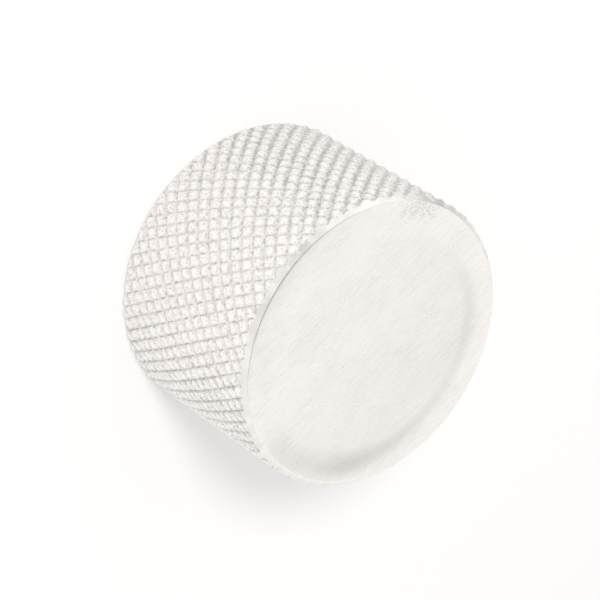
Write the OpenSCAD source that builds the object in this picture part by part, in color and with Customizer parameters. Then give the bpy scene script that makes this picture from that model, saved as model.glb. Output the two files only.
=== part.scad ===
// Knurled control knob, turned from aluminium bar and held on its shaft by a set screw.
// It stands on its open underside, with +Z up its axis to the flat front face.

/* [Body] */
// Diameter over the crests of the knurl
knob_d = 24; // [20:0.5:32]
// Height from the underside to the front face
knob_h = 16.5; // [14:0.5:22]
// Width of the 45 degree chamfer between the knurl and the front face
front_chamfer = 0.5; // [0.4:0.05:1.5]
// Width of the 45 degree chamfer at the underside
back_chamfer = 0.5; // [0.3:0.05:1.5]
// Width of the ring in which the buffed face rolls down to its edge
roll_w = 3.2; // [1:0.1:4]
// How far the face has dropped at the end of that ring
roll_drop = 0.17; // [0.05:0.01:0.4]

/* [Knurl] */
// Pitch of the grooves that lean left, measured square across them
left_pitch = 0.95; // [0.9:0.01:1.5]
// Pitch of the grooves that lean right, measured square across them
right_pitch = 1.02; // [0.9:0.01:1.5]
// Lean of the left-leaning grooves from the axis, in degrees
left_lean = 30; // [25:1:50]
// Lean of the right-leaning grooves from the axis, in degrees
right_lean = 46; // [25:1:50]
// Depth of the grooves below the crests
groove_depth = 0.22; // [0.15:0.01:0.4]
// Width of a groove where it opens between two flat crests
groove_w = 0.34; // [0.28:0.01:0.8]

/* [Shaft bore] */
// Diameter of the shaft that the knob fits
shaft_d = 6; // [4:0.01:8]
// Gap between the shaft and the wall of the bore
shaft_clearance = 0.05; // [0.02:0.01:0.1]
// Depth of the bore's round wall, from the underside
bore_depth = 12; // [10.5:0.1:13]
// Full angle of the drill's point at the bore's blind end
drill_point = 118; // [90:1:140]
// Diameter of the recess that clears the shaft's fixing nut
recess_d = 14; // [11:0.5:18]
// Depth of that recess, from the underside
recess_depth = 2.5; // [1:0.1:4]
// Chamfer that breaks the edges of the recess and the bore
edge_break = 0.3; // [0.1:0.05:0.6]

/* [Set screw] */
// Thread diameter of the set screw
screw_d = 4; // [3:0.5:5]
// Height of the screw's axis above the underside
screw_z = 7; // [6:0.1:9]
// Gap between the screw and its hole
thread_clearance = 0.05; // [0.02:0.01:0.1]
// How far the screw's point stops short of the bore when no shaft is fitted
screw_setback = 0.25; // [0.1:0.05:1]
// How far the screw's outer end lies below the crests of the knurl
screw_inset = 0.7; // [0.5:0.1:3]
// Width of the screw's hexagon socket across its flats
socket_w = 2; // [1.5:0.1:2.5]
// Depth of that socket
socket_depth = 2.5; // [1.5:0.1:3]
// Diameter of the cup point's cutting edge
cup_d = 2.4; // [1.5:0.1:2.8]
// Chamfer on the screw's outer end
screw_chamfer = 0.3; // [0.1:0.05:0.5]
// Width of the countersink at the outer mouth of the screw hole
hole_sink = 0.5; // [0.2:0.05:0.8]

/* [Hidden] */
$fn = 180;
// Cutters run this far past the faces that they open
overrun = 1;
// The knurled bar is this much longer than the knob at each end, before its two end points
bar_margin = 0.25;
// Height of those end points, which close the bar
bar_point = 2;
// Flat steps that make up the arc of the rolled face
roll_steps = 6;

rim_r = knob_d / 2;
face_r = rim_r - front_chamfer;
bore_r = shaft_d / 2 + shaft_clearance;
recess_r = recess_d / 2;
hole_r = screw_d / 2 + thread_clearance;
screw_start = bore_r + screw_setback;
screw_l = rim_r - screw_inset - screw_start;

// The arc of the rolled face is level where it starts, so its radius follows from its width and drop.
roll_r = (roll_w * roll_w + roll_drop * roll_drop) / (2 * roll_drop);
roll_angle = asin(roll_w / roll_r);
rolled_face = [
    for (step = [roll_steps:-1:0])
        let (lean = roll_angle * step / roll_steps)
            [face_r - roll_w + roll_r * sin(lean), knob_h - roll_r * (1 - cos(lean))]
];

// Grooves of each family round the knob, and how many of them a vertical line crosses per millimetre
left_n = round(PI * knob_d * cos(left_lean) / left_pitch);
right_n = round(PI * knob_d * cos(right_lean) / right_pitch);
left_rise = sin(left_lean) / left_pitch;
right_rise = sin(right_lean) / right_pitch;
crossings_per_mm = right_n * left_rise + left_n * right_rise;

// Each diamond is a low pyramid on four groove crossings. Its point stands above the rim,
// where the turned form cuts it flat, so the flanks' slope sets the width of the grooves.
floor_r = rim_r - groove_depth;
point_r = floor_r + groove_depth * (left_pitch + right_pitch) / 2 / groove_w;

// A point at radius r on left-leaning groove i and right-leaning groove j. Half numbers lie midway.
function on_grooves(i, j, r) =
    let (turn = 360 * (right_rise * i + left_rise * j) / crossings_per_mm)
        [r * cos(turn), r * sin(turn), (right_n * i - left_n * j) / crossings_per_mm];

// Row j of diamonds lies between right-leaning grooves j and j + 1. It starts below the underside
// and holds enough diamonds to end above the face, wherever the row meets the two ends.
bar_low = -bar_margin;
bar_high = knob_h + bar_margin;
row_len = ceil(((bar_high - bar_low) * crossings_per_mm + left_n) / right_n) + 1;
row_shift = ceil(left_n / right_n);
row_points = row_shift + row_len + 1;
function row_start(j) = floor((bar_low * crossings_per_mm + left_n * j) / right_n);

// Numbers of the bar's points: first all the crossings, then the pyramids' points, then the two ends
function crossing(i, j) =
    j < right_n
    ? j * row_points + row_shift + i - row_start(j)
    : crossing(i - left_n, j - right_n);
first_point = right_n * row_points;
low_end = first_point + right_n * row_len;
high_end = low_end + 1;

crossing_points = [
    for (j = [0:right_n - 1], k = [0:row_points - 1])
        on_grooves(row_start(j) - row_shift + k, j, floor_r)
];
pyramid_points = [
    for (j = [0:right_n - 1], k = [0:row_len - 1])
        on_grooves(row_start(j) + k + 0.5, j + 0.5, point_r)
];
flanks = [
    for (j = [0:right_n - 1], k = [0:row_len - 1])
        let (
            i = row_start(j) + k,
            base = [crossing(i, j), crossing(i + 1, j), crossing(i + 1, j + 1), crossing(i, j + 1)]
        )
            for (side = [0:3])
                [base[side], base[(side + 1) % 4], first_point + j * row_len + k]
];

// The saw-toothed edge that each row leaves at an end of the bar, as crossings in order round the bar
function edge_of_row(j, i) =
    concat([crossing(i, j)], [for (step = [i:i + row_start(j + 1) - row_start(j)]) crossing(step, j + 1)]);
function end_fan(edge, apex) = [for (k = [0:len(edge) - 2]) [edge[k], edge[k + 1], apex]];
low_fans = [
    for (j = [0:right_n - 1])
        each end_fan(edge_of_row(j, row_start(j)), low_end)
];
high_fans = [
    for (j = [0:right_n - 1])
        each end_fan(edge_of_row(j, row_start(j) + row_len), high_end)
];
function turned_over(faces) = [for (f = faces) [f[1], f[0], f[2]]];

// Bar with diamonds all round it, a little longer than the knob
module knurled_bar() {
    polyhedron(
        points = concat(
            crossing_points,
            pyramid_points,
            [[0, 0, bar_low - bar_point], [0, 0, bar_high + bar_point]]
        ),
        faces = concat(flanks, low_fans, turned_over(high_fans))
    );
}

// What the lathe leaves of the bar: both chamfers, the rolled edge and the flat face
module turned_form() {
    rotate_extrude()
        polygon(concat(
            [
                [0, 0],
                [rim_r - back_chamfer, 0],
                [rim_r, back_chamfer],
                [rim_r, knob_h - roll_drop - front_chamfer]
            ],
            rolled_face,
            [[0, knob_h]]
        ));
}

// Nut recess, bore and drill point, as one stepped hole from below
module shaft_hole() {
    rotate_extrude()
        polygon([
            [0, -overrun],
            [recess_r + edge_break + overrun, -overrun],
            [recess_r, edge_break],
            [recess_r, recess_depth],
            [bore_r + edge_break, recess_depth],
            [bore_r, recess_depth + edge_break],
            [bore_r, bore_depth],
            [0, bore_depth + bore_r / tan(drill_point / 2)]
        ]);
}

// Turns what stands on the origin so that it points out along +Y at the screw's height
module along_screw(out) {
    translate([0, out, screw_z])
        rotate([-90, 0, 0])
            children();
}

// Tapped hole through one wall, at its thread's outer diameter, with a countersunk mouth
module screw_hole() {
    along_screw(0)
        cylinder(r = hole_r, h = rim_r + overrun);
    along_screw(rim_r - hole_sink)
        cylinder(r1 = hole_r, r2 = hole_r + hole_sink + overrun, h = hole_sink + overrun);
}

module knob_body() {
    color("silver")
        difference() {
            intersection() {
                knurled_bar();
                turned_form();
            }
            shaft_hole();
            screw_hole();
        }
}

// Headless screw with a cup point towards the shaft and a hexagon socket at its outer end
module set_screw() {
    point_l = (screw_d - cup_d) / 2;
    color("dimgray")
        along_screw(screw_start)
            difference() {
                rotate_extrude()
                    polygon([
                        [0, cup_d / 2],
                        [cup_d / 2, 0],
                        [screw_d / 2, point_l],
                        [screw_d / 2, screw_l - screw_chamfer],
                        [screw_d / 2 - screw_chamfer, screw_l],
                        [0, screw_l]
                    ]);
                translate([0, 0, screw_l - socket_depth])
                    cylinder(d = socket_w / cos(30), h = socket_depth + overrun, $fn = 6);
            }
}

knob_body();
set_screw();
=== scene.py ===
# %% [markdown]
# # A knurled control knob in bare aluminium
# The real knob is turned from bar, rolled with a diamond knurl, parted off and buffed flat on its
# front. A set screw in its side holds it on a shaft. The solids come from a CAD model that is
# plain where a maker's tools leave fine detail, so this script makes both pieces again with that
# detail, gives them their finishes, and then sets up a floor, a studio, a lamp and a camera.
#
# Lengths are in metres, with +Z up the knob's axis and the origin under its middle.

import math

import bmesh
import bpy
import numpy as np
from mathutils import Matrix, Vector


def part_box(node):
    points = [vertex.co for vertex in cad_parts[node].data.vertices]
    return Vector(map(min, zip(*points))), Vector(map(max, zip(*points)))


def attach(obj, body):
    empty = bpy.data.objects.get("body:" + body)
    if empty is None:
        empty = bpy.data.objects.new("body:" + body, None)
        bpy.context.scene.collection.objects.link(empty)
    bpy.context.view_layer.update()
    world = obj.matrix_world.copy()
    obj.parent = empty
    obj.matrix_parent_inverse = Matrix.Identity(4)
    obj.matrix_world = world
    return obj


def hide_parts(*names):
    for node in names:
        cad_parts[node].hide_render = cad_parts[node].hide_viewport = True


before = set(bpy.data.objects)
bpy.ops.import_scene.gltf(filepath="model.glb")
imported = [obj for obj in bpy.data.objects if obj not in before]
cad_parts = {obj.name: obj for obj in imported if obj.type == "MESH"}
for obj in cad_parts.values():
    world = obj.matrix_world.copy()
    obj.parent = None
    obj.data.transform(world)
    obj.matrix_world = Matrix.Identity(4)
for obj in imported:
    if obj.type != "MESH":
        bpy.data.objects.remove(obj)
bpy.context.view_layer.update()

# %% [markdown]
# ## Sizes
# The knob's radius and height are read from its solid. The other main sizes are the ones that the
# solids were drawn with, so that the detailed pieces keep the same form, and each is named where it
# is first needed.

# %% Sizes of the knob
MM = 0.001
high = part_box("knob_body")[1]
rim_r = high.x
knob_h = high.z
front_chamfer = 0.5 * MM
face_r = rim_r - front_chamfer
print("radius and height in mm:", round(rim_r / MM, 3), round(knob_h / MM, 3))

# %% [markdown]
# ## Maths on sockets
# A finish that changes over the surface needs sums, such as rim radius less radius, over depth.
# In Blender each step of a sum is a Math node, and a chain of them is hard to read when they are
# made one by one. This class wraps an output socket, so that Python's own operators add the
# nodes.

# %% A socket that does maths
class Value:
    """A number that changes over a surface: an output socket whose operators add Math nodes."""

    def __init__(self, nodes, socket):
        self.nodes = nodes
        self.socket = socket

    def math(self, operation, *values):
        """Output of a Math node on these values, in this order."""
        return self.nodes.node("ShaderNodeMath", {"operation": operation}, values)

    def __add__(self, other):
        return self.math("ADD", self, other)

    def __radd__(self, other):
        return self.math("ADD", other, self)

    def __sub__(self, other):
        return self.math("SUBTRACT", self, other)

    def __rsub__(self, other):
        return self.math("SUBTRACT", other, self)

    def __mul__(self, other):
        return self.math("MULTIPLY", self, other)

    def __rmul__(self, other):
        return self.math("MULTIPLY", other, self)

    def __truediv__(self, other):
        return self.math("DIVIDE", self, other)

    def __rtruediv__(self, other):
        return self.math("DIVIDE", other, self)

    def __pow__(self, other):
        return self.math("POWER", self, other)

    def __rpow__(self, other):
        return self.math("POWER", other, self)

    def __abs__(self):
        return self.math("ABSOLUTE", self)

    def fraction(self):
        """What is left of the number without its whole part, from 0 up to 1."""
        return self.math("FRACT", self)

    def step(self, start, end):
        """0 up to start and 1 from end on, with a smooth rise between."""
        return self.nodes.node(
            "ShaderNodeMapRange", {"interpolation_type": "SMOOTHSTEP"}, {0: self, 1: start, 2: end}
        )


print("sums on sockets: + - * / ** abs, fraction and step")

# %% [markdown]
# Every other node comes from one method. It takes the type of the node, then its settings,
# because some of them change which sockets a node has, and then the values or links of its
# sockets.

# %% The nodes of one tree
class Nodes:
    """Adds nodes to one tree, and gives back the output of each as a Value."""

    def __init__(self, tree):
        self.tree = tree
        self.tree.nodes.clear()

    def node(self, kind, settings=None, inputs=(), out=0):
        """A node of this kind. Its settings are made first, then its inputs, by place or name."""
        made = self.tree.nodes.new(kind)
        for key, value in (settings or {}).items():
            setattr(made, key, value)
        pairs = inputs.items() if isinstance(inputs, dict) else enumerate(inputs)
        for key, value in pairs:
            self.set_socket(made.inputs[key], value)
        return Value(self, made.outputs[out]) if made.outputs else made

    def set_socket(self, socket, value):
        """Links a Value to the socket, or writes a plain number or colour into it."""
        if isinstance(value, Value):
            self.tree.links.new(value.socket, socket)
        else:
            socket.default_value = value


print("one method adds every node:", Nodes.node.__name__)

# %% [markdown]
# A metal is one Principled shader. Being metal all over is a number on the shader's own socket,
# and only what changes over the surface comes from nodes. Patterns could follow a UV map, but
# noise on Object coordinates needs none and keeps its real size, because those are metres on the
# piece.

# %% The finish of a metal
class Finish(Nodes):
    """A material of bare metal: one Principled shader, and the nodes that feed it."""

    def __init__(self, name):
        self.material = bpy.data.materials.new(name)
        self.material.use_nodes = True
        super().__init__(self.material.node_tree)
        self.shader = self.node("ShaderNodeBsdfPrincipled")
        self.node("ShaderNodeOutputMaterial", {}, {"Surface": self.shader})
        self.feed("Metallic", 1.0)
        self.place = self.node("ShaderNodeTexCoord", out="Object")

    def feed(self, socket, value):
        """Sets or links one socket of the shader."""
        self.set_socket(self.shader.socket.node.inputs[socket], value)

    def noise(self, scale, stretch=(1, 1, 1), turn=0, detail=2, roughness=0.5):
        """Smooth noise from 0 to 1 with about scale bumps to a metre, stretched along the axes
        after a turn round Z."""
        place = self.node(
            "ShaderNodeMapping",
            {"vector_type": "TEXTURE"},
            {"Vector": self.place, "Rotation": (0, 0, turn), "Scale": stretch},
        )
        return self.node(
            "ShaderNodeTexNoise",
            {"noise_dimensions": "3D"},
            {"Vector": place, "Scale": scale, "Detail": detail, "Roughness": roughness},
        )

    def blend(self, factor, first, second):
        """Colour that goes from first to second as the factor goes from 0 to 1."""
        return self.node(
            "ShaderNodeMix", {"data_type": "RGBA"}, {0: factor, 6: first, 7: second}, out=2
        )

    def relief(self, height, depth):
        """Feeds Normal with bumps of this depth in metres, where height goes from 0 to 1."""
        self.feed("Normal", self.node("ShaderNodeBump", {}, {"Distance": depth, "Height": height}))

    def axis(self, name):
        """One coordinate of the place on the surface."""
        return self.node("ShaderNodeSeparateXYZ", {}, [self.place], out=name)

    def radius(self):
        """Distance from the knob's axis: the root of x squared plus y squared."""
        x, y = self.axis("X"), self.axis("Y")
        return (x * x + y * y) ** 0.5

    def turn(self):
        """Share of a full turn round the knob's axis: the angle whose tangent is y over x, over
        two pi."""
        x, y = self.axis("X"), self.axis("Y")
        return y.math("ARCTAN2", y, x) / (2 * math.pi)


print("a finish feeds the sockets of a Principled shader")

# %% [markdown]
# ## The lattice of grooves
# A knurling tool holds two wheels, and each rolls one family of slanting grooves round the bar.
# The knurl's finish and its shape both need to know where the grooves run, so their numbers come
# first. The number i counts grooves that lean left and j counts grooves that lean right: a whole
# number is on a groove, and a half is midway between two. i is left_n turns round the knob plus
# left_rise heights, and j is right_n turns less right_rise heights.

# %% Numbers of the lattice
left_pitch = 0.95 * MM
right_pitch = 1.02 * MM
left_lean = math.radians(30)
right_lean = math.radians(46)
groove_depth = 0.22 * MM


def grooves_round(pitch, lean):
    """Whole number of grooves round the rim: its length times the cosine of the lean, over the
    pitch."""
    return round(2 * math.pi * rim_r * math.cos(lean) / pitch)


left_n = grooves_round(left_pitch, left_lean)
right_n = grooves_round(right_pitch, right_lean)
left_rise = math.sin(left_lean) / left_pitch
right_rise = math.sin(right_lean) / right_pitch
crossings = right_n * left_rise + left_n * right_rise
print("grooves:", left_n, "and", right_n, "diamonds on the knob:", round(crossings * knob_h))

# %% [markdown]
# ## Bare aluminium
# One metal, worked four ways: rolled into diamonds, turned on a lathe, drilled, and buffed along
# one line. Each way leaves its own marks, so each gets its own finish of the same pale metal.
# Scanned metal textures would show the same marks, but these are made by noise, so they never
# repeat.

# %% Colours of the metal
metal = (0.91, 0.882, 0.85, 1)
dull_metal = (0.78, 0.752, 0.722, 1)
print("aluminium, bright and dull:", metal[:3], dull_metal[:3])

# %% [markdown]
# ### The rolled knurl
# A knurling wheel squeezes the metal up between its teeth. The pads keep a sparkling skin, and
# the grooves are darker, partly from dull metal and dirt and partly as painted shade where shade
# falls in them. How far a point lies below the crests says which it is: depth is the rim's radius
# less the point's, over the depth of a groove. The fractions of i and j say where on its own
# diamond a point lies, so that they also tell how near it is to a groove of each family.

# %% Where a point of the knurl lies
rolled = Finish("rolled_aluminium")
depth = (rim_r - rolled.radius()) / groove_depth
height = rolled.axis("Z")
turn = rolled.turn()
along_i = (left_n * turn + left_rise * height).fraction()
along_j = (right_n * turn - right_rise * height).fraction()
near_i = abs(2 * along_i - 1).step(0.5, 0.95)
near_j = abs(2 * along_j - 1).step(0.5, 0.95)
print("made", rolled.material.name)

# %% [markdown]
# Painted shade darkens the grooves towards the two sides of the knob, -X and +X: on each side
# most in one family of grooves, and on the side of +X also close to the face.

# %% Where the sides get painted shade
side_shade_middle = 2 * MM
across = rolled.axis("X") / rim_r
# Painted shade in the grooves, deepest towards both sides
painted_side_shade = (abs(rolled.axis("X") - side_shade_middle) / rim_r).step(0.4, 0.95)
painted_shade_minus_x = (0 - across).step(-0.1, 0.6)
# Painted shade on the pads in the middle of the side at -X
painted_edge_shade_minus_x = (0 - across).step(0.8, 1.0)
painted_shade_plus_x = across.step(0.4, 0.9)
painted_front_shade_plus_x = across.step(0.5, 0.8) * (height / knob_h).step(0.3, 0.9)
print("the thumb is at -X and the finger at +X")

# %% [markdown]
# The skin of the pads is speckled by the wheel's worn teeth. Each pad is painted lightest at the
# corner where both fractions reach 1 and darker away from it, as painted shade, and the pads in
# the middle of the side at -X are painted darker too.

# %% Finish of the knurl
bright_skin = (1, 0.98, 0.955, 1)
dull_and_shaded_skin = (0.6, 0.585, 0.565, 1)
groove_metal = (0.85, 0.826, 0.80, 1)
groove_dirt_and_shade = (0.50, 0.487, 0.472, 1)
grain_depth = 0.014 * MM
grain = rolled.noise(6 / MM, roughness=0.7)
patches = rolled.noise(0.55 / MM)
dirt = rolled.noise(3.5 / MM, detail=3, roughness=0.6)
speckles = grain.step(0.46, 0.62)
# Painted shade on each pad, lightest at the corner where both fractions reach 1
painted_pad_shade = 1 - 0.6 * along_i - 0.4 * along_j
# Specks and patches are wear; the pad and side terms are painted shade
wear_and_painted_shade = 0.7 * speckles + 0.15 * patches + 0.25 * painted_pad_shade + 0.4 * painted_edge_shade_minus_x
skin = rolled.blend(wear_and_painted_shade.step(0.4, 1.1), bright_skin, dull_and_shaded_skin)
# Random dirt in the grooves, plus painted shade towards the sides
dirt_and_painted_shade = dirt + 0.1 * painted_side_shade + 0.07 * (near_j * (painted_shade_minus_x + painted_front_shade_plus_x)) + 0.09 * (near_i * painted_shade_plus_x)
# Groove colour, darker where dirt noise and painted shade add up
hollows = rolled.blend(dirt_and_painted_shade.step(0.42, 0.78), groove_metal, groove_dirt_and_shade)
# Grooves take the darker colour with depth: partly dull metal and dirt, partly painted shade
rolled.feed("Base Color", rolled.blend(depth.step(0.08, 0.95), skin, hollows))
rolled.feed("Roughness", 0.2 + 0.2 * grain + 0.1 * depth.step(0.2, 0.8))
rolled.relief(grain, grain_depth)
print("nodes in", rolled.material.name + ":", len(rolled.tree.nodes))

# %% [markdown]
# ### Turned and drilled metal
# The chamfers, the underside and the holes keep the fine rings of the tools that cut them. A ring
# is where radius plus height stays the same, so noise that is read along that one number gives
# rings on flat ends, cones and walls alike. A drill leaves wider and deeper rings than a lathe
# tool.

# %% Finish of turned and drilled metal
def ring_marks(finish, width, depth):
    """Tool marks: one-dimensional noise along radius plus height, this wide and this deep."""
    along = (finish.radius() + finish.axis("Z")) / width
    marks = finish.node(
        "ShaderNodeTexNoise", {"noise_dimensions": "1D"}, {"W": along, "Scale": 1, "Detail": 2}
    )
    finish.relief(marks, depth)
    return marks


lathe = Finish("turned_aluminium")
rings = ring_marks(lathe, width=0.07 * MM, depth=0.004 * MM)
spots = lathe.noise(0.8 / MM, detail=3)
lathe.feed("Base Color", lathe.blend(spots.step(0.3, 0.75), metal, dull_metal))
lathe.feed("Roughness", 0.22 + 0.16 * rings)

drilled = Finish("drilled_aluminium")
scores = ring_marks(drilled, width=0.12 * MM, depth=0.01 * MM)
drilled.feed("Base Color", drilled.blend(scores, metal, dull_metal))
drilled.feed("Roughness", 0.3 + 0.2 * scores)
print("made", lathe.material.name, "and", drilled.material.name)

# %% [markdown]
# ### The buffed face
# The face was rubbed along one line with fine abrasive, which leaves straight scratches of many
# lengths. Anisotropy could stretch its highlights as such scratches do, but would show none of
# them. Noise that is stretched far along that line and hardly across it looks like the scratches.

# %% Scratches of the face
buff_angle = math.radians(160)
stray_angle = buff_angle + 0.06
scratch_depth = 0.0012 * MM
buffed = Finish("buffed_aluminium")
hairs = buffed.noise(14 / MM, (12, 1, 1), buff_angle, roughness=0.6)
strokes = buffed.noise(4.5 / MM, (7, 1, 1), stray_angle, detail=3, roughness=0.7)
pits = buffed.noise(8 / MM, (2, 1, 1), buff_angle)
cloud = buffed.noise(0.3 / MM, (1.6, 1, 1), buff_angle, detail=4, roughness=0.6)
scratches = 0.4 * hairs + 0.35 * strokes + 0.25 * pits
shade = 0.72 * scratches + 0.28 * cloud
buff = buffed.blend(shade.step(0.4, 0.7), metal, dull_metal)
buffed.feed("Roughness", 0.09 + 0.12 * scratches)
buffed.relief(scratches, scratch_depth)
print("made", buffed.material.name)

# %% [markdown]
# Where the face rolls down to its edge, a small patch on the side of -X is darker in its pits.
# The patch is a product of soft steps: near one y, near the edge, and on the side of -X.

# %% The darker patch near the edge
dark_patch_colour = (0.66, 0.642, 0.625, 1)
patch_y = -3.4 * MM
patch_w = 2.4 * MM
patch_start, patch_full = 9.6 * MM, 10.8 * MM
dark_patch = (1 - abs(buffed.axis("Y") - patch_y) / patch_w).step(0, 0.7)
dark_patch = dark_patch * buffed.radius().step(patch_start, patch_full)
dark_patch = dark_patch * (buffed.axis("X") / -face_r).step(0, 0.5) * pits.step(0.4, 0.68)
buffed.feed("Base Color", buffed.blend(dark_patch, buff, dark_patch_colour))
print("nodes in", buffed.material.name + ":", len(buffed.tree.nodes))

# %% [markdown]
# ### Black oxide
# The set screw is hardened steel with a thin black oxide, which shines a little and rubs off
# grey. Paint would be a plain dark shader, but oxide is still metal, so it is a dark metal with
# worn spots.

# %% Finish of the set screw
oxide_black = (0.055, 0.055, 0.06, 1)
rubbed_grey = (0.2, 0.2, 0.2, 1)
oxide_depth = 0.006 * MM
oxide = Finish("black_oxide")
rubbed = oxide.noise(4 / MM, detail=4, roughness=0.65)
oxide.feed("Base Color", oxide.blend(rubbed.step(0.55, 0.8), oxide_black, rubbed_grey))
oxide.feed("Roughness", 0.3 + 0.25 * rubbed)
oxide.relief(rubbed, oxide_depth)
print("made", oxide.material.name)

# %% [markdown]
# ## From numbers to a mesh
# Every surface here is worked out with numpy, as an array of points and rows of point numbers for
# the faces. One helper makes a piece of the two. Its origin stays at the knob's, so its place is
# in its mesh, and a pattern on Object coordinates stays where it is on the knob.

# %% A piece from arrays
def make_piece(name, points, faces, material):
    """A piece with these points and faces, linked to the scene at the origin and shaded smooth."""
    mesh = bpy.data.meshes.new(name)
    mesh.from_pydata(points.tolist(), [], faces)
    mesh.materials.append(material)
    mesh.shade_smooth()
    piece = bpy.data.objects.new(name, mesh)
    bpy.context.scene.collection.objects.link(piece)
    return piece


print("a piece is made of points and of faces that number them")

# %% [markdown]
# ## The knurled bar
# Displacing a plain cylinder would leave stepped grooves, because its grid runs upright. Here the
# grid itself follows the grooves: a step of one along i or j is one groove, each diamond gets the
# same few faces, and they crowd where the metal bends. A groove's floor is sharp, as the wheel's
# tooth is, and its lips round off into the pads.

# %% The form of a groove
faces_across = 8
crowding = 0.6
left_reach = 0.08 * MM
right_reach = 0.21 * MM
lip_power = 1.2


def crowded(x):
    """x less a share of sin(2 pi x) / (2 pi), which draws evenly spaced numbers to whole ones."""
    return x - crowding * np.sin(2 * np.pi * x) / (2 * np.pi)


def groove(place, pitch, reach):
    """Share of the full depth at a distance s from the nearest groove:
    exp(-(s / reach) ** lip_power)."""
    s = np.abs(place - np.round(place)) * pitch
    return np.exp(-((s / reach) ** lip_power))


def off_middle(place):
    """0 in the middle between two grooves of a family, and 1 at each groove."""
    return 2 * np.abs(place - np.floor(place) - 0.5)


one_groove = crowded(np.arange(faces_across + 1) / faces_across)
print("faces between two grooves end at", one_groove.round(2))
print("their depths, of the full one:", groove(one_groove, left_pitch, left_reach).round(2))

# %% [markdown]
# The mesh starts from steps of i and j, so the two sums that give them are solved for the turn
# and the height. The rows of faces close round the bar, because both families have a whole number
# of grooves. No two pads of a rolled knurl are alike, so each gets a small drop and tilt of its
# own, from chance numbers that start at a seed and so are the same in every run.

# %% Points of the bar
pad_crown = 0.07 * MM
pad_drop = 0.012 * MM
pad_tilt = 0.02 * MM
chance = np.random.default_rng(24)


def on_bar(i, j):
    """Points at grooves i and j. A point's radius is the rim's less the deeper of its two grooves,
    and less its own pad's drop, tilt and crown, which fade out in the grooves."""
    turn = 2 * np.pi * (right_rise * i + left_rise * j) / crossings
    height = (right_n * i - left_n * j) / crossings
    hollow = np.maximum(groove(i, left_pitch, left_reach), groove(j, right_pitch, right_reach))
    crown = pad_crown * (off_middle(i) ** 2 + off_middle(j) ** 2)
    pad_i, pad_j = np.floor(i).astype(int), np.floor(j).astype(int)
    chances = chance.random((3, pad_i.max() - pad_i.min() + 1, right_n))
    drop, lean_i, lean_j = chances[:, pad_i - pad_i.min(), pad_j]
    low = pad_drop * drop + pad_tilt * (1 + (lean_i * 2 - 1) * (i - pad_i - 0.5))
    low = low + pad_tilt * (lean_j * 2 - 1) * (j - pad_j - 0.5) + crown
    radius = rim_r - groove_depth * hollow - (1 - hollow) * low
    return np.stack([radius * np.cos(turn), radius * np.sin(turn), height], axis=-1)


print("pads differ by up to", round((pad_drop + 2 * pad_tilt) / MM, 3), "mm in height")

# %% The bar's mesh
bar_margin = 0.25 * MM
bar_point = 2 * MM


def bar_faces():
    """Faces of the lattice as rows of four corners, each corner by its whole steps along i and j.
    A row of faces starts where it meets the bar's low end. Past the last row, the first returns."""
    low_i = -bar_margin * crossings * faces_across / right_n
    long = math.ceil((knob_h + 2 * bar_margin) * crossings * faces_across / right_n) + 2
    j, k = np.mgrid[0 : right_n * faces_across, 0:long]
    i = k + np.floor(low_i + j * left_n / right_n).astype(int)
    i = np.stack([i, i, i + 1, i + 1], axis=-1)
    j = np.stack([j, j + 1, j + 1, j], axis=-1)
    past = j == right_n * faces_across
    return np.where(past, i - left_n * faces_across, i), np.where(past, 0, j)


def knurled_bar(material):
    """The bar, a little longer than the knob. Each edge that has a face on one side only is at an
    end, and a triangle joins it to that end's point on the axis."""
    corners = np.stack(bar_faces(), axis=-1).reshape(-1, 2)
    steps, number = np.unique(corners, axis=0, return_inverse=True)
    points = on_bar(*crowded(steps.T / faces_across))
    quads = number.reshape(-1, 4)
    edges = np.stack([quads, np.roll(quads, -1, axis=1)], axis=-1).reshape(-1, 2)
    codes, back_codes = (e[:, 0] * len(points) + e[:, 1] for e in (edges, edges[:, ::-1]))
    ends = edges[~np.isin(codes, back_codes)]
    top = points[ends[:, 0], 2] > knob_h / 2
    fans = np.stack([ends[:, 1], ends[:, 0], len(points) + top], axis=-1)
    tips = [[0, 0, -bar_margin - bar_point], [0, 0, knob_h + bar_margin + bar_point]]
    faces = quads.tolist() + fans.tolist()
    return make_piece("knurled_bar", np.concatenate([points, tips]), faces, material)


bar = knurled_bar(rolled.material)
print("knurled bar:", len(bar.data.polygons), "faces")

# %% [markdown]
# ## What a lathe makes
# Blender's Screw modifier could turn a profile round an axis, but the hexagon socket and the
# threads aren't round, and would need other tools. A grid of radii and heights that runs round
# the axis makes them all: on a turned form the rows of the grid are the same all the way round.

# %% Solids round an axis
def revolved(name, radius, height, material):
    """A closed solid round +Z, with a row for each point of the profile and a column for each step
    round: the points are (radius cos a, radius sin a, height). The first and the last row become
    points on the axis."""
    rows, turns = radius.shape
    angle = np.arange(turns) * 2 * np.pi / turns
    ring = np.stack([radius * np.cos(angle), radius * np.sin(angle), height], axis=-1)
    poles = [[0, 0, height[0].mean()], [0, 0, height[-1].mean()]]
    points = np.concatenate([ring[1:-1].reshape(-1, 3), poles])
    number = np.arange((rows - 2) * turns).reshape(rows - 2, turns)
    beside = np.roll(number, -1, axis=1)
    sides = np.stack([number[:-1], beside[:-1], beside[1:], number[1:]], axis=-1)
    first, last = len(points) - 2, len(points) - 1
    caps = [(beside[0], number[0], first), (number[-1], beside[-1], last)]
    fans = [np.stack([a, b, np.full(turns, pole)], axis=-1).tolist() for a, b, pole in caps]
    return make_piece(name, points, sides.reshape(-1, 4).tolist() + fans[0] + fans[1], material)


def turned(name, profile, material, turns):
    """What a lathe makes of a profile of (radius, height) points that starts and ends on the axis,
    with this many faces round it."""
    profile = np.array(profile)
    radius, height = (np.repeat(profile[:, [k]], turns, axis=1) for k in (0, 1))
    return revolved(name, radius, height, material)


print("solids round +Z are closed by a point at each end")

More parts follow.
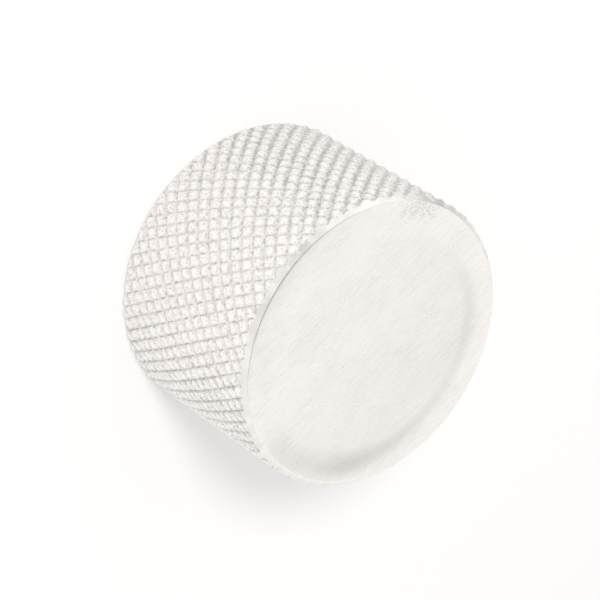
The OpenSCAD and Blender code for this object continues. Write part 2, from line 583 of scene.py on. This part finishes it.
# %% [markdown]
# ### The turned form
# The lathe's cuts are one profile. It is wider than the bar between its two chamfers, so the
# knurl stays as it is there. The face rolls down to its edge on an arc, as a face does that is
# rubbed on a soft backing, and a small arc that touches both face and chamfer is the edge that
# buffing leaves. A Bevel modifier could round that edge, but would round the teeth of the knurl's
# edge as well.

# %% The rolled face and its soft edge
roll_w = 3.2 * MM
roll_drop = 0.17 * MM
roll_points = 15
edge_r = 0.12 * MM
edge_points = 6
chamfer_slope = math.radians(45)

roll_r = (roll_w**2 + roll_drop**2) / (2 * roll_drop)
roll_slope = math.asin(roll_w / roll_r)
slope = np.linspace(roll_slope, 0, roll_points)
roll_radius = face_r - roll_w + roll_r * np.sin(slope)
roll_height = knob_h - roll_r * (1 - np.cos(slope))
rolled_face = np.stack([roll_radius, roll_height], axis=-1)

cut_back = edge_r * math.tan((chamfer_slope - roll_slope) / 2)
along_face = np.array([math.cos(roll_slope), -math.sin(roll_slope)])
out_of_face = np.array([math.sin(roll_slope), math.cos(roll_slope)])
edge_middle = rolled_face[0] - cut_back * along_face - edge_r * out_of_face
slope = np.linspace(chamfer_slope, roll_slope, edge_points)
soft_edge = edge_middle + edge_r * np.stack([np.sin(slope), np.cos(slope)], axis=-1)
print("the face falls by", round(math.degrees(roll_slope), 1), "degrees at its edge")

# %% The turned form
back_chamfer = 0.5 * MM
spare = 0.2 * MM
form = turned(
    "turned_form",
    [
        (0, 0),
        (rim_r - back_chamfer, 0),
        (rim_r + spare, back_chamfer + spare),
        (rim_r + spare, knob_h - roll_drop - front_chamfer - spare),
        *soft_edge,
        *rolled_face[1:],
        (0, knob_h),
    ],
    lathe.material,
    turns=240,
)


def dress(piece, material, least_height):
    """Gives the material to the faces whose middles are at least this high, and counts them."""
    mesh = piece.data
    mesh.materials.append(material)
    middles = np.empty(len(mesh.polygons) * 3)
    mesh.polygons.foreach_get("center", middles)
    chosen = middles[2::3] >= least_height
    mesh.polygons.foreach_set("material_index", chosen * (len(mesh.materials) - 1))
    return chosen.sum()


buffed_faces = dress(form, buffed.material, knob_h - roll_drop)
print("turned form:", len(form.data.polygons), "faces, of which buffed:", buffed_faces)

# %% [markdown]
# ### The hole for the shaft
# Under the knob a wide recess clears the nut of the control that it sits on, and a drilled bore
# takes the shaft, with the cone of the drill's point at its end. The hole could be a part of the
# turned form, but a solid of its own, which is taken out later, brings the drill's finish to the
# walls.

# %% The shaft's bore and its nut recess
bore_r = 3.05 * MM
bore_depth = 12 * MM
drill_point = math.radians(118)
recess_r = 7 * MM
recess_depth = 2.5 * MM
edge_break = 0.3 * MM
overrun = 1 * MM
shaft_hole = turned(
    "shaft_hole",
    [
        (0, -overrun),
        (recess_r + edge_break + overrun, -overrun),
        (recess_r, edge_break),
        (recess_r, recess_depth),
        (bore_r + edge_break, recess_depth),
        (bore_r, recess_depth + edge_break),
        (bore_r, bore_depth),
        (0, bore_depth + bore_r / math.tan(drill_point / 2)),
    ],
    drilled.material,
    turns=96,
)
print("shaft hole:", len(shaft_hole.data.polygons), "faces")

# %% [markdown]
# ## Threads
# A thread is a groove that winds round: its depth depends only on how far the height has run
# ahead of one pitch for each turn. A bump pattern would be enough from afar, but the mouth of the
# hole and the cup of the screw cut through it. The same formula gives the screw and, a little
# wider, the tap that cut its hole, so the two match wherever the screw stands.

# %% Threads
screw_r = 2 * MM
thread_gap = 0.05 * MM
thread_pitch = 0.7 * MM
thread_depth = 0.38 * MM
thread_flat = 0.1
thread_turns = 48
thread_rows = 8


def thread(angle, along, outer_r):
    """Radius of a thread: the outer radius less the depth, times how far the winding number
    along / pitch - angle / (2 pi) is from a whole one, kept level for a flat at crest and root."""
    winding = along / thread_pitch - angle / (2 * np.pi)
    off_crest = 2 * np.abs(winding - np.round(winding))
    fallen = (off_crest - thread_flat) / (1 - 2 * thread_flat)
    return outer_r - thread_depth * np.clip(fallen, 0, 1)


def threaded(start, end):
    """Grids of the angle and the height of a threaded length, with a few rows for each pitch."""
    rows = math.ceil((end - start) / thread_pitch * thread_rows) + 1
    angles = np.arange(thread_turns) * 2 * np.pi / thread_turns
    along, angle = np.meshgrid(np.linspace(start, end, rows), angles, indexing="ij")
    return angle, along


half_turn = thread(np.array([0, np.pi]), 0, screw_r) / MM
print("thread radius in mm at its crest and its root:", half_turn.round(3))

# %% Rows and grids that are stacked to a solid
def flat_ring(radius, along):
    """One row of a grid, at one height."""
    return np.full(thread_turns, radius), np.full(thread_turns, along)


def grid_of(*parts):
    """One grid of radii and one of heights from rows and grids, stacked from the low end up."""
    return [np.concatenate([np.atleast_2d(part[k]) for part in parts]) for k in (0, 1)]


screw_z = 7 * MM


def point_out(piece):
    """Turns a piece that was made along +Z so that it points along +Y at the screw's height."""
    lie = Matrix.Rotation(math.radians(-90), 4, "X")
    piece.data.transform(Matrix.Translation((0, 0, screw_z)) @ lie)
    return piece


print("the screw's axis is at", round(screw_z / MM, 1), "mm")

# %% [markdown]
# The tap's solid starts inside the bore and ends past the rim. Near the rim the larger of the
# thread and a 45 degree cone is taken, which is the countersink that breaks the mouth of the
# hole.

# %% The tapped hole
tap_start = 1 * MM
hole_sink = 0.5 * MM
hole_r = screw_r + thread_gap
angle, along = threaded(tap_start, rim_r - hole_sink / 2)
sink_r = along - (rim_r - hole_sink - hole_r)
tap = point_out(
    revolved(
        "tap",
        *grid_of(
            flat_ring(0.0, tap_start),
            (np.maximum(thread(angle, along, hole_r), sink_r), along),
            flat_ring(hole_r + hole_sink + overrun, rim_r + overrun),
            flat_ring(0.0, rim_r + overrun),
        ),
        drilled.material,
    )
)
print("tap:", len(tap.data.polygons), "faces")

# %% [markdown]
# ## Cutting the knob
# Boolean modifiers do what the machines did: keep what the bar and the turned form share, then
# take away the bore and the tapped hole. The fast Manifold solver needs closed meshes, which
# these are. Each cut surface takes its finish from the tool that cut it.

# %% Cuts by machine
def shape(piece, tool, operation):
    """Cuts the piece with the tool's volume, which is then deleted."""
    cut = piece.modifiers.new(tool.name, "BOOLEAN")
    cut.operation = operation
    cut.solver = "MANIFOLD"
    cut.material_mode = "TRANSFER"
    cut.object = tool
    seen = piece.evaluated_get(bpy.context.evaluated_depsgraph_get())
    shaped = bpy.data.meshes.new_from_object(seen)
    piece.modifiers.clear()
    piece.data = shaped
    bpy.data.objects.remove(tool)


knob = bar
knob.name = "knob"
shape(knob, form, "INTERSECT")
shape(knob, shaft_hole, "DIFFERENCE")
shape(knob, tap, "DIFFERENCE")
print("knob as cut:", len(knob.data.polygons), "faces")

# %% [markdown]
# The cuts leave hairs of edges and some faces with many corners. The hairs are dissolved, and
# those faces are split into even triangles. Then only edges that are sharper than the bends of
# the pads are shaded sharp.

# %% The knob
shortest_edge = 0.002 * MM
knob_crease = math.radians(36)
neat = bmesh.new()
neat.from_mesh(knob.data)
bmesh.ops.dissolve_degenerate(neat, dist=shortest_edge, edges=neat.edges)
many_sided = [face for face in neat.faces if len(face.verts) > 4]
bmesh.ops.triangulate(neat, faces=many_sided, ngon_method="BEAUTY")
neat.to_mesh(knob.data)
neat.free()
knob.data.shade_smooth()
knob.data.set_sharp_from_angle(angle=knob_crease)
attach(knob, "root")
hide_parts("knob_body")
knob.data.calc_loop_triangles()
print("faces with many corners that were split:", len(many_sided))
print("knob:", len(knob.data.loop_triangles), "triangles")
print("its finishes:", [material.name for material in knob.data.materials])

# %% [markdown]
# ## The set screw
# One grid runs from the cup in the screw's point, out over the point and the thread to its end,
# and back down into the hexagon socket. Six flat walls are one formula: half the width over the
# cosine of the angle from the middle of the nearest flat. A Boolean cut could make the socket
# too, but here the rows of the grid reach it by themselves.

# %% The set screw
screw_setback = 0.25 * MM
screw_inset = 0.7 * MM
screw_start = bore_r + screw_setback
screw_l = rim_r - screw_inset - screw_start
screw_chamfer = 0.3 * MM
cup_r = 1.2 * MM
socket_w = 2 * MM
socket_depth = 2.5 * MM
socket_chamfer = 0.12 * MM
end_gap = 0.001 * MM
screw_crease = math.radians(30)

angle, along = threaded(end_gap, screw_l - end_gap)
point_r = cup_r + along
end_r = screw_r - screw_chamfer + screw_l - along
body_r = np.minimum(thread(angle, along + screw_start, screw_r), np.minimum(point_r, end_r))
off_flat = np.mod(angle[0], np.pi / 3) - np.pi / 6
socket_r = socket_w / 2 / np.cos(off_flat)
screw = point_out(
    revolved(
        "screw",
        *grid_of(
            flat_ring(0.0, cup_r),
            flat_ring(cup_r, 0.0),
            (body_r, along),
            flat_ring(screw_r - screw_chamfer, screw_l),
            flat_ring(socket_r + socket_chamfer, screw_l),
            flat_ring(socket_r, screw_l - socket_chamfer),
            flat_ring(socket_r, screw_l - socket_depth),
            flat_ring(0.0, screw_l - socket_depth),
        ),
        oxide.material,
    )
)
screw.data.transform(Matrix.Translation((0, screw_start, 0)))
screw.data.set_sharp_from_angle(angle=screw_crease)
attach(screw, "root")
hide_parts("set_screw")
print("set screw:", round(screw_l / MM, 2), "mm long,", len(screw.data.polygons), "faces")

# %% [markdown]
# ## The floor
# The knob stands on white paper. A camera that is set for bright metal sees lit paper as plain
# white, so a share of what it meets there is plain white light, and the rest is paper that takes
# the knob's shadow. Away from the knob the plain share rises to all, so the paper ends without a
# line. A shadow catcher would keep the shadow alone, but then the white has to be laid in behind
# it afterwards.

# %% The sheet of paper
floor_reach = 2.0
floor_gap = 0.02 * MM
corners = floor_reach * np.array([(-1, -1, 0), (1, -1, 0), (1, 1, 0), (-1, 1, 0)])
sheet = bpy.data.meshes.new("floor")
sheet.from_pydata((corners - [0, 0, floor_gap]).tolist(), [], [(0, 1, 2, 3)])
floor = bpy.data.objects.new("floor", sheet)
bpy.context.scene.collection.objects.link(floor)
print("the floor is", 2 * floor_reach, "m wide")

# %% The finish of the paper
paper_colour = (0.79, 0.775, 0.765, 1)
plain_share = 0.35
fade_start, fade_end = 0.06, 0.3


def any_ray(nodes, *kinds):
    """1 for rays of these kinds and 0 for all others: the sum of those Light Path outputs."""
    seen = [nodes.node("ShaderNodeLightPath", out=f"Is {kind} Ray") for kind in kinds]
    return sum(seen[1:], seen[0])


paper = bpy.data.materials.new("paper")
paper.use_nodes = True
sheet.materials.append(paper)
paper_nodes = Nodes(paper.node_tree)
lit = paper_nodes.node("ShaderNodeBsdfDiffuse", {}, {"Color": paper_colour})
plain = paper_nodes.node("ShaderNodeEmission", {}, {"Strength": 1.0})
place = paper_nodes.node("ShaderNodeTexCoord", out="Object")
away = paper_nodes.node("ShaderNodeVectorMath", {"operation": "LENGTH"}, [place], out="Value")
share = plain_share + (1 - plain_share) * away.step(fade_start, fade_end)
share = share * any_ray(paper_nodes, "Camera", "Glossy", "Transmission")
both = paper_nodes.node("ShaderNodeMixShader", {}, [share, lit, plain])
paper_nodes.node("ShaderNodeOutputMaterial", {}, {"Surface": both})
print("the plain share of the paper goes from", plain_share, "to 1")

# %% [markdown]
# ## The studio
# Bare metal has hardly any colour of its own and shows what stands round it. So the studio is a
# pale room with soft darker places, which give the diamonds their light and dark sides. An image
# of a real studio would light the knob too, but here each place can be moved until it does its
# work. A place is a soft disc in one direction: the cosine of the angle to its middle says how
# deep in it a ray is.

# %% Directions and discs
def toward(azimuth, elevation):
    """Unit direction at an azimuth in degrees from +Y towards +X, and an elevation above level:
    (sin a cos e, cos a cos e, sin e)."""
    a, e = math.radians(azimuth), math.radians(elevation)
    return math.sin(a) * math.cos(e), math.cos(a) * math.cos(e), math.sin(e)


world = bpy.data.worlds.new("studio")
world.use_nodes = True
bpy.context.scene.world = world
studio = Nodes(world.node_tree)
ray = studio.node("ShaderNodeTexCoord", out="Generated")


def disc(azimuth, elevation, inner, outer):
    """1 within the inner angle of this direction, and 0 past the outer angle."""
    sides = [ray, toward(azimuth, elevation)]
    cosine = studio.node(
        "ShaderNodeVectorMath", {"operation": "DOT_PRODUCT"}, sides, out="Value"
    )
    return cosine.step(math.cos(math.radians(outer)), math.cos(math.radians(inner)))


print("a place behind the knob lies toward", np.round(toward(0, 40), 2))

# %% The studio round the knob
room_light = 1.05
places = [  # azimuth, elevation, inner and outer angle, change of light
    # A row of narrow dark strips behind the knob: the rolled edge mirrors them as a grey crescent
    (-4, 40.3, 0.5, 2.7, -0.3),
    (0.5, 40, 0.5, 2.6, -0.25),
    (5, 39.9, 0.5, 2.7, -0.45),
    (9, 39.2, 0.5, 2.8, -0.4),
    (12.5, 43, 0.5, 4.5, -0.2),
    # A faint shade above them, which the near edge of the face mirrors, and a dark ceiling
    (-3, 56, 3, 9, -0.04),
    (0, 90, 15, 35, -0.75),
    # Two dark places to the sides of the camera
    (150, 42, 4, 14, -0.2),
    (-150, 42, 4, 12, -0.35),
    # A low dark place and a bright one on the side of -X, which the front chamfer mirrors
    (-51, 3, 10, 23, -0.5),
    (-98, 27, 10, 27, 0.18),
]
light = room_light
for azimuth, elevation, inner, outer, change in places:
    light = light + change * disc(azimuth, elevation, inner, outer)
white = (1, 1, 1, 1)
seen = studio.node("ShaderNodeBackground", {}, {"Color": white, "Strength": 1.0})
round_it = studio.node("ShaderNodeBackground", {}, {"Color": white, "Strength": light})
both = studio.node("ShaderNodeMixShader", {}, [any_ray(studio, "Camera"), round_it, seen])
studio.node("ShaderNodeOutputWorld", {}, {"Surface": both})
print("places in the studio:", len(places))

# %% [markdown]
# ## The lamp
# The room alone casts almost no shadow, so a soft round lamp stands over the knob to give it one.
# Bare metal would show the lamp as a burnt spot, so reflections don't see it: the lamp lights the
# paper, and the metal mirrors the paper and the room.

# %% Lamp
key_side = Vector((-0.19, -0.61, 0.77)).normalized()
key_distance = 0.35
key = bpy.data.lights.new("key", "AREA")
key.shape = "DISK"
key.size = 0.08
key.energy = 0.78
lamp = bpy.data.objects.new("key", key)
bpy.context.scene.collection.objects.link(lamp)
lamp.location = key_side * key_distance
lamp.rotation_mode = "QUATERNION"
lamp.rotation_quaternion = key_side.to_track_quat("Z", "Y")
lamp.visible_glossy = False
print("lamp at", [round(number, 3) for number in lamp.location])

# %% [markdown]
# ## The camera
# A long lens from about twenty centimetres keeps the round face nearly a true ellipse. The camera
# looks down at the face from -Y and is rolled on its own line of sight, so the knob seems to
# lean.

# %% Camera
aim = Vector((0.192, 0, 7.172)) * MM
view_elevation = math.radians(45.676)
view_distance = 221.78 * MM
view_roll = math.radians(-122.787)
back = Vector((0, -math.cos(view_elevation), math.sin(view_elevation)))
camera = bpy.data.cameras.new("camera")
camera.sensor_width = 36
camera.lens = 172.29
camera.clip_start = 0.01
camera.clip_end = 10
camera_object = bpy.data.objects.new("camera", camera)
bpy.context.scene.collection.objects.link(camera_object)
camera_object.location = aim + back * view_distance
upright = (-back).to_track_quat("-Z", "Y").to_matrix()
rolled_view = Matrix.Rotation(view_roll, 3, -back) @ upright
camera_object.rotation_mode = "QUATERNION"
camera_object.rotation_quaternion = rolled_view.to_quaternion()
bpy.context.scene.camera = camera_object
print("camera at", [round(number, 3) for number in camera_object.location])

# %% [markdown]
# ## Finish
# The Standard view shows the light as it is, without a film's curve, so white paper stays white.

# %% Finish
bpy.context.scene.view_settings.view_transform = "Standard"
